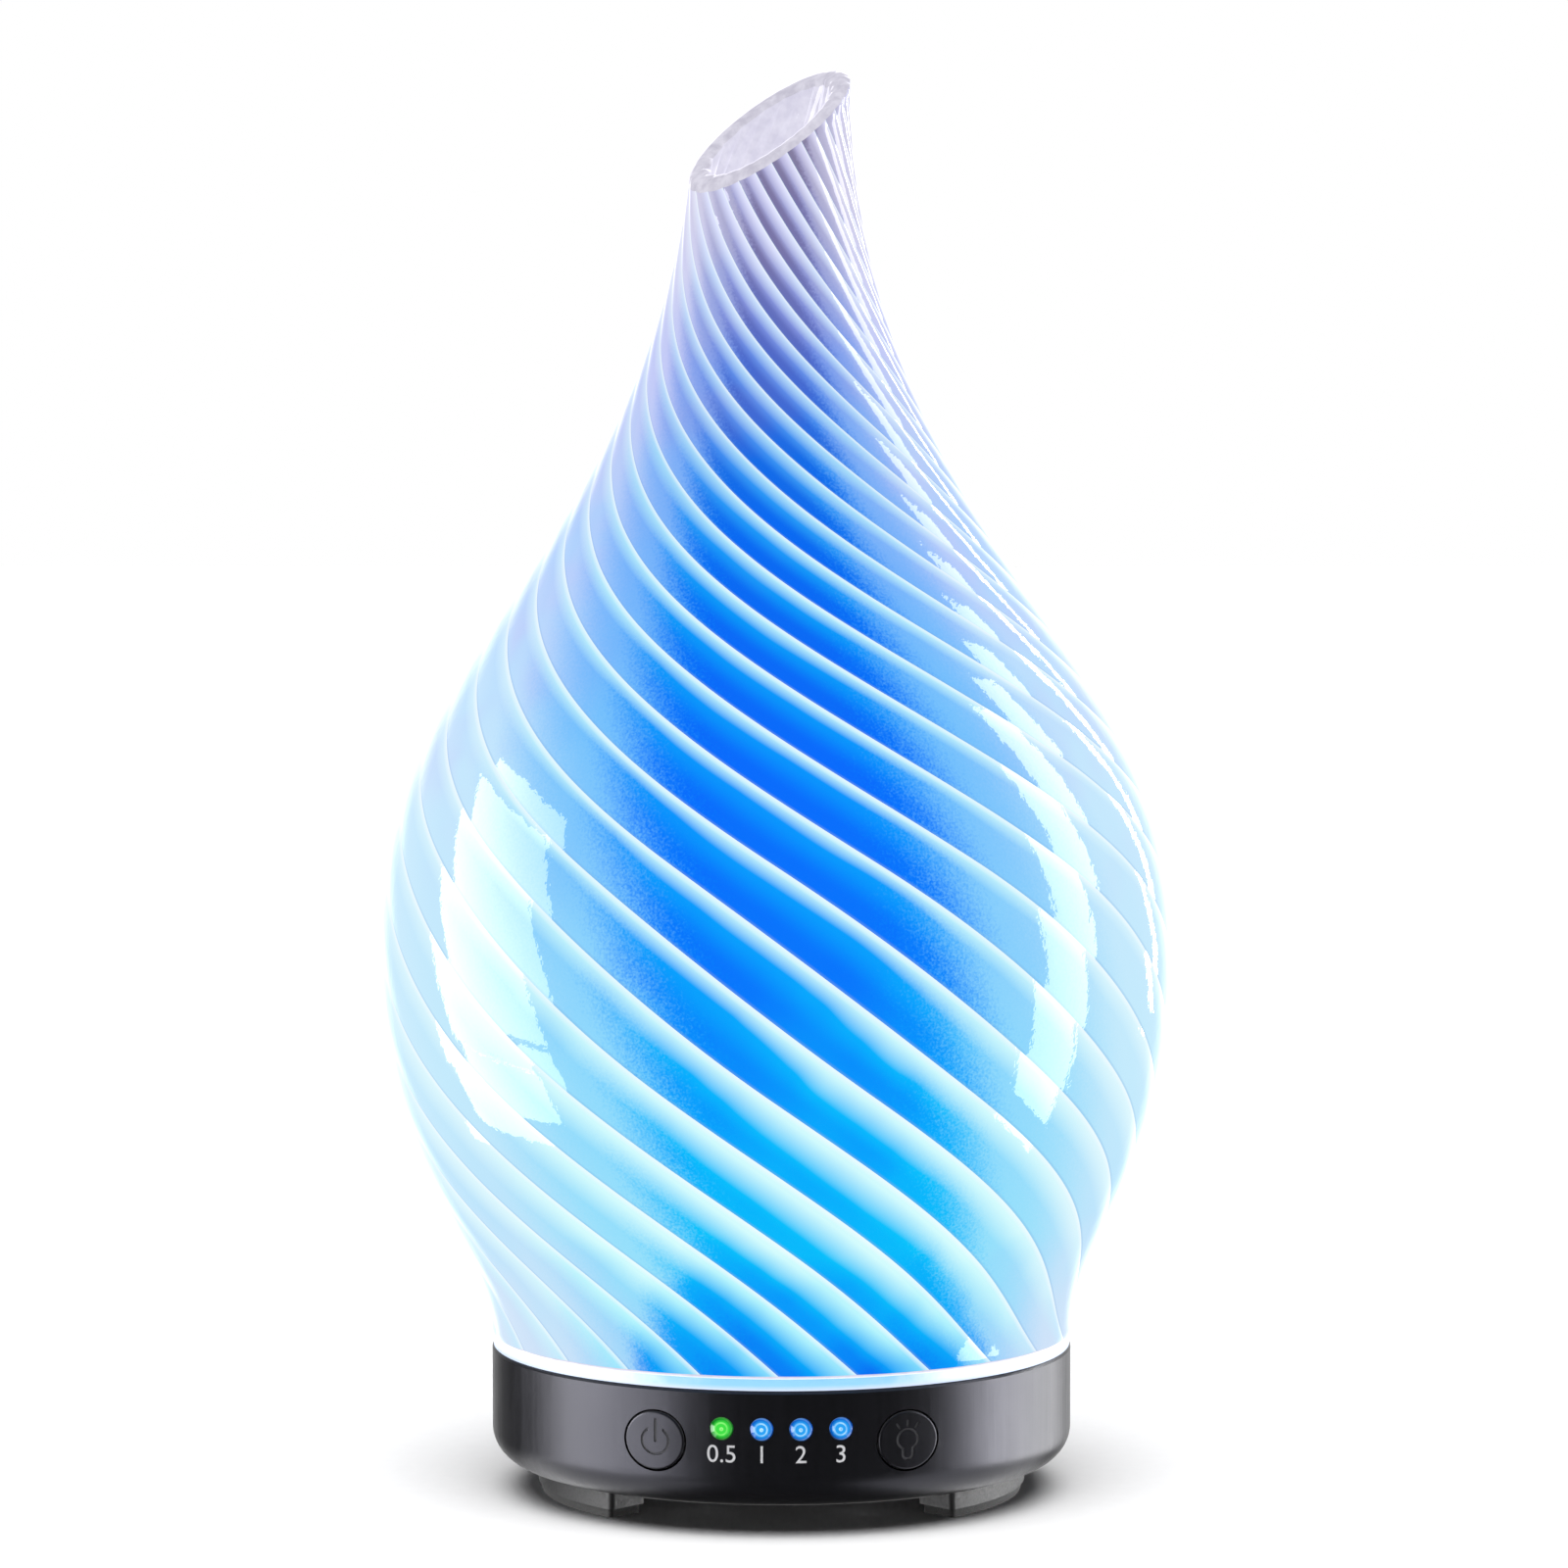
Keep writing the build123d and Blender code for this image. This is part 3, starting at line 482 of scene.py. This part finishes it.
def rib_glow(s, across, height, place):
    """The painted glow over a whole rib, from the pale side at its crease, a painted highlight, to the
    painted shadow at the next one.
    """
    cloud = s.noise(place, 0.055, 2.0)
    height = s.calc("ADD", height, s.spread(cloud, 0.3, 0.7, -0.025, 0.025))
    grain = s.spread(s.noise(place, 2.6, 2.0), 0.3, 0.7, -0.02, 0.02)
    depth = s.turned_aside(grain, s.spread(height, 0.1, 0.7, 0.09, -0.06))
    reach = s.ramp(height, [(at, (share,) * 3) for at, share in PALE_REACH])
    reach = s.calc("ADD", reach, s.spread(s.noise(place, 0.03, 1.0), 0.3, 0.7, -0.05, 0.05))
    body, pale = rib_body(s, across, height, cloud, depth, reach)
    fade = s.spread(across, s.calc("MULTIPLY", reach, 0.3), s.calc("MULTIPLY", reach, 1.25))
    glow = s.blend(fade, pale, body)
    shadow = s.calc("MULTIPLY", s.spread(across, 0.95, 0.98), 0.3)
    glow = s.blend(shadow, glow, (0.2, 0.4, 0.72))
    # Painted highlight: a white line along each crease.
    glow = s.blend(s.spread(across, 0.0, 0.11, 0.75, 0.0), glow, (0.92, 0.98, 1.0))
    # Painted sheen: the whole glow turns whiter towards the object's sides.
    return s.blend(s.spread(depth, 0.5, 1.0, 0.0, 0.3), glow, (0.93, 0.95, 1.0))


def lit_glass(name):
    """Blown ribbed glass over a milky lining, lit blue from below, with that light painted into its glow. The
    UV map holds a point's place across its rib (U) and its height up the cover (V). The lip and the inside
    carry no bands."""
    s = Shader(name)
    across, height, _ = s.split(s.add("ShaderNodeUVMap", uv_map="ribs").outputs[0])
    place = s.position()
    glow = rib_glow(s, across, height, place)
    patches = s.spread(s.noise(place, 0.5, 3.0), 0.35, 0.65)
    inside = s.blend(patches, (0.66, 0.64, 0.78), (0.76, 0.74, 0.87))
    lip = s.blend(patches, (0.56, 0.54, 0.64), (0.72, 0.7, 0.8))
    glow = s.blend(s.spread(across, 1.4, 1.6), glow, inside)
    glow = s.blend(s.spread(across, 2.4, 2.6), glow, lip)
    # The glass's light is a painted glow, given as its emission.
    surface = s.principled(
        Base_Color=(0.001, 0.002, 0.004), Roughness=0.035, IOR=1.46, Emission_Color=glow,
        Emission_Strength=1.0, Normal=s.bump(s.noise(place, 0.35, 3.0), 0.05 * MM),
    )
    return s.finish(surface)


def paper_floor():
    s = Shader("floor_paper")
    fibre = s.noise(s.position(), 0.4, 4.0)
    tint = s.blend(fibre, (0.86, 0.86, 0.865), (0.9, 0.9, 0.905))
    surface = s.principled(
        Base_Color=tint, Roughness=0.7, Specular_IOR_Level=0.0, Normal=s.bump(fibre, 0.02 * MM)
    )
    return s.finish(surface)


def middle_of(node):
    low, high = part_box(node)
    return (low + high) / 2


BUTTON_FACE = max(hypot(v.co.x, v.co.y) for v in frame["nodes"]["power_button"].data.vertices) / MM

SLOT_MATERIALS = {
    "tank_plastic": translucent_tank("tank_plastic"),
    "ring_plastic": lit_ring("ring_plastic"),
    "cover_plastic": moulded("cover_plastic", (0.5, 0.53, 0.57), 0.38, 0.02 * MM, cell=1.6, variation=0.08),
    "silicone": silicone("silicone"),
    "housing_black": brushed_black("housing_black"),
    "cover_black": moulded("cover_black", (0.022, 0.022, 0.024), 0.55, 0.03 * MM, variation=0.2),
    "pad_rubber": rubber("pad_rubber", (0.02, 0.02, 0.02)),
    "screw_steel": metal("screw_steel", (0.62, 0.62, 0.63), 0.32),
    "mist_ceramic": metal("mist_ceramic", (0.7, 0.66, 0.58), 0.26, tarnish=0.5),
    "clamp_plastic": moulded("clamp_plastic", (0.55, 0.55, 0.53), 0.5, variation=0.06),
    "board_green": circuit_board("board_green"),
    "light_white": led_package("light_white"),
    "coil_copper": wound_wire("coil_copper", (0.72, 0.34, 0.16), 0.5),
    "capacitor_can": moulded("capacitor_can", (0.05, 0.06, 0.11), 0.3, coat=0.4),
    "chip_black": moulded("chip_black", (0.022, 0.022, 0.023), 0.6, 0.03 * MM, cell=5.0),
    "plug_white": moulded("plug_white", (0.56, 0.54, 0.48), 0.45, variation=0.06),
    "socket_black": moulded("socket_black", (0.016, 0.016, 0.017), 0.3, coat=0.2),
    "socket_nickel": metal("socket_nickel", (0.76, 0.74, 0.69), 0.18, (1, 0.1, 1)),
    "fan_black": moulded("fan_black", (0.03, 0.03, 0.032), 0.5, 0.02 * MM),
    "stator_copper": wound_wire("stator_copper", (0.66, 0.32, 0.16), 0.4),
    "magnet_grey": metal("magnet_grey", (0.2, 0.2, 0.21), 0.5, tarnish=0.6),
    "shaft_steel": metal("shaft_steel", (0.72, 0.72, 0.74), 0.15, (1, 1, 0.1)),
    "button_black": brushed_black("button_black", 1.15, 0.6, BUTTON_FACE),
    "switch_black": moulded("switch_black", (0.03, 0.03, 0.032), 0.42),
    "plunger_grey": moulded("plunger_grey", (0.2, 0.2, 0.21), 0.4),
    "lead_red": insulated("lead_red", (0.5, 0.02, 0.02)),
    "lead_white": insulated("lead_white", (0.75, 0.75, 0.72)),
    "lead_black": insulated("lead_black", (0.03, 0.03, 0.032)),
}


def lens_material(node):
    if node == "half_hour_lens":
        colours = ((0.0, 0.16, 0.01), (0.05, 0.72, 0.06), (0.35, 0.95, 0.25))
    else:
        colours = ((0.0, 0.08, 0.42), (0.02, 0.34, 0.78), (0.55, 0.9, 1.0))
    middle = middle_of(node) / MM
    return indicator(f"lit_{node}", (middle.x, middle.z), *colours)


def dress_cad_nodes():
    """Gives every CAD node that stays in view its material."""
    for part in frame["record"]["subparts"]:
        node, slot = part["node"], part["material_slot"]
        mesh = frame["nodes"][node].data
        mesh.materials.clear()
        mesh.materials.append(lens_material(node) if node in NUMERALS else SLOT_MATERIALS.get(slot))


# ---- the ribbed glass --------------------------------------------------------------------------------
def wall_points(mesh, outward):
    """(radius, height) of a turned shell's corners on its outer or its inner wall, from the foot up."""
    sign = 1 if outward else -1
    found = set()
    for face in mesh.polygons:
        middle = Vector((face.center.x, face.center.y, 0)).normalized()
        if sign * face.normal.dot(middle) > 0.7:
            found.update(face.vertices)
    corners = [mesh.vertices[i].co for i in found]
    points = sorted((co.z, hypot(co.x + lean(co.z), co.y)) for co in corners)
    kept = [points[0]]
    for height, radius in points:
        if height - kept[-1][0] > WALL_STEP:
            kept.append((height, radius))
    return np.array(kept)


def smooth_through(points):
    """A function that runs smoothly through (place, value) points and goes on straight past their ends."""
    places, values = points[:, 0], points[:, 1]
    slopes = np.gradient(values, places)

    def value(at):
        if at <= places[0]:
            return values[0] + slopes[0] * (at - places[0])
        if at >= places[-1]:
            return values[-1] + slopes[-1] * (at - places[-1])
        i = int(np.searchsorted(places, at)) - 1
        span = places[i + 1] - places[i]
        t = (at - places[i]) / span
        rise = values[i + 1] - values[i]
        a, b = slopes[i] * span - rise, rise - slopes[i + 1] * span
        return values[i] + t * rise + t * (1 - t) * ((1 - t) * a + t * b)

    return value


lean = smooth_through(np.array([(z * MM, x * MM) for z, x in LEAN]))


def mouth_plane(mesh):
    """A point and the normal of the slanted mouth, the highest face that leans as it does."""
    top = max(mesh.polygons, key=lambda face: face.center.z if 0.7 < face.normal.z < 0.9 else 0)
    return top.center.copy(), top.normal.copy()


class Glass:
    """The twisted, ribbed shell over the CAD glass's own outline."""

    def __init__(self, mesh):
        self.outer = smooth_through(wall_points(mesh, True))
        self.inner = smooth_through(wall_points(mesh, False))
        self.twist = smooth_through(np.array([(z * MM, radians(a)) for z, a in TWIST]))
        self.foot, self.tip = (corner.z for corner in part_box("glass_cover"))
        self.mouth, self.normal = mouth_plane(mesh)

    def azimuth(self, column, height):
        return -pi / 2 + column * 2 * pi / (RIBS * RIB_STEPS) - self.twist(height)

    def rib(self, column):
        """0 in the creases and 1 on a rib's middle."""
        return 1 - (2 * (column % RIB_STEPS) / RIB_STEPS - 1) ** 2

    def point(self, column, height, outward):
        azimuth = self.azimuth(column, height)
        if outward:
            radius = self.outer(height) + (self.rib(column) - OUTER_SINK) * OUTER_RIB
        else:
            radius = self.inner(height)
            depth = INNER_RIB * (2 * pi * radius / RIBS / RIB_WIDEST) ** 0.5
            radius += (INNER_SINK - self.rib(column)) * depth
        return Vector((radius * cos(azimuth) - lean(height), radius * sin(azimuth), height))

    def top(self, column, outward):
        """The height at which this column meets the mouth's plane."""
        height = self.mouth.z
        for _ in range(12):
            place = self.point(column, height, outward) - self.mouth
            height = self.mouth.z - (place.x * self.normal.x + place.y * self.normal.y) / self.normal.z
        return height - LIP_HEIGHT / self.normal.z

    def heights(self, column, outward, rows):
        """Heights of this column's corners, level at first and then leaning over to the mouth."""
        level = rows * LEVEL_ROWS // (LEVEL_ROWS + MOUTH_ROWS)
        foot = self.foot + FOOT_HEIGHT
        low = [foot + (LEVEL_TOP - foot) * i / level for i in range(level)]
        top = self.top(column, outward)
        rest = rows - level
        return low + [LEVEL_TOP + (top - LEVEL_TOP) * i / rest for i in range(rest + 1)]

    def across(self, column, row, rows):
        """Place across the rib for the outer wall, from 1 down to 0; 2 marks the inside and 3 the lip."""
        if row < rows:
            return 1 - (column % RIB_STEPS) / RIB_STEPS
        return 3.0 if row < rows + LIP_ROWS else 2.0

    def wall(self, bm, column, outward, rows):
        return [bm.verts.new(self.point(column, z, outward)) for z in self.heights(column, outward, rows)]

    def build(self):
        columns = range(RIBS * RIB_STEPS)
        rows = LEVEL_ROWS + MOUTH_ROWS
        down = Vector((0, 0, -1))
        bm = bmesh.new()
        ribs = bm.loops.layers.uv.new("ribs")
        outer = [self.wall(bm, c, True, rows) for c in columns]
        inner = [self.wall(bm, c, False, INNER_ROWS) for c in columns]
        lip = [self.lip(bm, outer[c][-1].co, inner[c][-1].co, self.normal, LIP_HEIGHT) for c in columns]
        foot = [self.lip(bm, inner[c][0].co, outer[c][0].co, down, FOOT_HEIGHT) for c in columns]
        loops = [outer[c] + lip[c] + inner[c][::-1] + foot[c] for c in columns]
        for c in columns:
            self.add_strip(bm, ribs, c, rows, loops[c], loops[(c + 1) % len(loops)])
            if c % RIB_STEPS == 0:
                for low, high in zip(outer[c], outer[c][1:]):
                    bm.edges.get((low, high)).smooth = False
        return bm

    def add_strip(self, bm, ribs, column, rows, here, there):
        """The faces between two columns of corners, with their place on the UV map."""
        for i in range(len(here)):
            j = (i + 1) % len(here)
            face = bm.faces.new((here[i], there[i], there[j], here[j]))
            face.smooth = True
            left = self.across(column, i, rows)
            right = left - 1 / RIB_STEPS
            for loop, across in zip(face.loops, (left, right, right, left)):
                loop[ribs].uv = (across, (loop.vert.co.z - self.foot) / (self.tip - self.foot))

    def lip(self, bm, start, end, normal, height):
        """Corners of a rounded edge between the outer and the inner wall."""
        made = []
        for i in range(1, LIP_ROWS):
            t = i / LIP_ROWS
            swell = height * (1 - (2 * t - 1) ** 4) ** 0.5
            made.append(bm.verts.new(start.lerp(end, t) + normal * swell))
        return made


def add_piece(name, mesh, body):
    piece = bpy.data.objects.new(name, mesh)
    bpy.context.collection.objects.link(piece)
    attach(piece, body)
    return piece


def add_glass():
    bm = Glass(frame["nodes"]["glass_cover"].data).build()
    mesh = bpy.data.meshes.new("ribbed_glass")
    bm.to_mesh(mesh)
    bm.free()
    mesh.materials.append(lit_glass("ribbed_glass"))
    piece = add_piece("ribbed_glass", mesh, "glass_cover")
    piece.visible_diffuse = False
    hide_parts("glass_cover")


# ---- printed numerals --------------------------------------------------------------------------------
def flat_text(text):
    """A numeral as a flat mesh in the XY plane, about its own middle."""
    font = bpy.data.curves.new("numeral_outline", "FONT")
    font.body = text
    font.size = NUMERAL_HEIGHT * FONT_SCALE
    font.align_x = "CENTER"
    font.align_y = "CENTER"
    font.resolution_u = 6
    holder = bpy.data.objects.new("numeral_outline", font)
    flat = bpy.data.meshes.new_from_object(holder)
    bpy.data.objects.remove(holder)
    return flat


def add_numeral(node, text):
    """A numeral printed on the housing below its lens, wrapped round the wall."""
    middle = middle_of(node)
    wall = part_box("base_housing")[1].x
    bm = bmesh.new()
    bm.from_mesh(flat_text(text))
    bmesh.ops.triangulate(bm, faces=bm.faces)
    long_edges = [edge for edge in bm.edges if edge.calc_length() > 0.5 * MM]
    bmesh.ops.subdivide_edges(bm, edges=long_edges, cuts=3)
    for vert in bm.verts:
        x = middle.x + vert.co.x
        vert.co = Vector((x, -((wall + INK) ** 2 - x * x) ** 0.5, middle.z - NUMERAL_DROP + vert.co.y))
    shell = bmesh.ops.extrude_face_region(bm, geom=bm.faces[:])
    for vert in (g for g in shell["geom"] if isinstance(g, bmesh.types.BMVert)):
        vert.co.y += 2 * INK
    bmesh.ops.recalc_face_normals(bm, faces=bm.faces)
    mesh = bpy.data.meshes.new(f"numeral_{node}")
    bm.to_mesh(mesh)
    bm.free()
    mesh.materials.append(moulded(f"ink_{node}", (0.58, 0.58, 0.6), 0.5, 0.004 * MM, cell=6.0))
    add_piece(f"numeral_{node}", mesh, "base")


# ---- studio ------------------------------------------------------------------------------------------
def add_floor():
    bm = bmesh.new()
    bmesh.ops.create_grid(bm, x_segments=8, y_segments=8, size=3.0)
    mesh = bpy.data.meshes.new("floor")
    bm.to_mesh(mesh)
    bm.free()
    mesh.materials.append(paper_floor())
    floor = bpy.data.objects.new("floor", mesh)
    floor.visible_glossy = False
    bpy.context.collection.objects.link(floor)


def add_softbox(name, place, turn, size, radiance, onto=None):
    """A panel that shows only in reflections, in those of one collection if that is given."""
    light = bpy.data.lights.new(name, "AREA")
    light.shape = "RECTANGLE"
    light.size, light.size_y = size
    light.energy = radiance * pi * light.size * light.size_y
    lamp = bpy.data.objects.new(name, light)
    bpy.context.collection.objects.link(lamp)
    lamp.location = place
    lamp.rotation_euler = turn
    lamp.visible_camera = False
    lamp.visible_diffuse = False
    if onto:
        lamp.light_linking.receiver_collection = onto


def add_upright(name, panel, onto=None):
    azimuth, distance, low, high, width, radiance, roll = panel
    angle = radians(azimuth)
    place = (distance * sin(angle), -distance * cos(angle), (low + high) / 2)
    add_softbox(name, place, (pi / 2, radians(roll), angle), (width, high - low), radiance, onto)


def base_pieces():
    """The housing and what is set in it, as a collection for lights to fall on."""
    group = bpy.data.collections.new("base_pieces")
    members = frame["record"]["behaviour"]["bodies"]
    for body in ("base", "power_button", "light_button"):
        for node in members[body]:
            group.objects.link(frame["nodes"][node])
    return group


def add_lights():
    for name, panel in PANELS.items():
        add_upright(name, panel)
    base = base_pieces()
    for name, panel in BASE_PANELS.items():
        add_upright(name, panel, base)
    for name, side in (("table_left", -1), ("table_right", 1)):
        add_softbox(name, (0.17 * side, -0.02, -0.045), (pi, 0, 0), (0.25, 0.16), 1.6, base)
    light = bpy.data.lights.new("overhead", "SUN")
    light.energy = 4.6
    light.angle = radians(70)
    lamp = bpy.data.objects.new("overhead", light)
    bpy.context.collection.objects.link(lamp)
    lamp.rotation_euler = (radians(16), 0, 0)
    lamp.visible_glossy = False


def add_world():
    """White to the camera and an even grey to matt surfaces. Gloss sees a dark room with a white wall
    behind."""
    world = bpy.data.worlds.new("studio")
    bpy.context.scene.world = world
    world.use_nodes = True
    w = Nodes(world.node_tree)
    ray = w.add("ShaderNodeLightPath").outputs
    behind = w.split(w.add("ShaderNodeTexCoord").outputs["Generated"])[1]
    room = w.spread(behind, 0.8, 0.97, 0.06, 1.0, smooth=True)
    light = w.mix_value(ray["Is Diffuse Ray"], room, 0.06)
    light = w.mix_value(ray["Is Camera Ray"], light, 1.0)
    background = w.node("ShaderNodeBackground", {"Color": (1.0, 1.0, 1.0), "Strength": light})
    output = w.add("ShaderNodeOutputWorld")
    w.tree.links.new(background.outputs[0], output.inputs["Surface"])


def add_camera():
    data = bpy.data.cameras.new("camera")
    data.lens = LENS_MM
    camera = bpy.data.objects.new("camera", data)
    bpy.context.collection.objects.link(camera)
    camera.location = (CAMERA_SIDE, -CAMERA_DISTANCE, CAMERA_HEIGHT)
    camera.rotation_euler = (radians(90 - CAMERA_DIP), 0, 0)
    bpy.context.scene.camera = camera


def main():
    scene = bpy.context.scene
    scene.view_settings.view_transform = "Standard"
    dress_cad_nodes()
    add_glass()
    for node, text in NUMERALS.items():
        add_numeral(node, text)
    add_floor()
    add_lights()
    add_world()
    add_camera()


main()
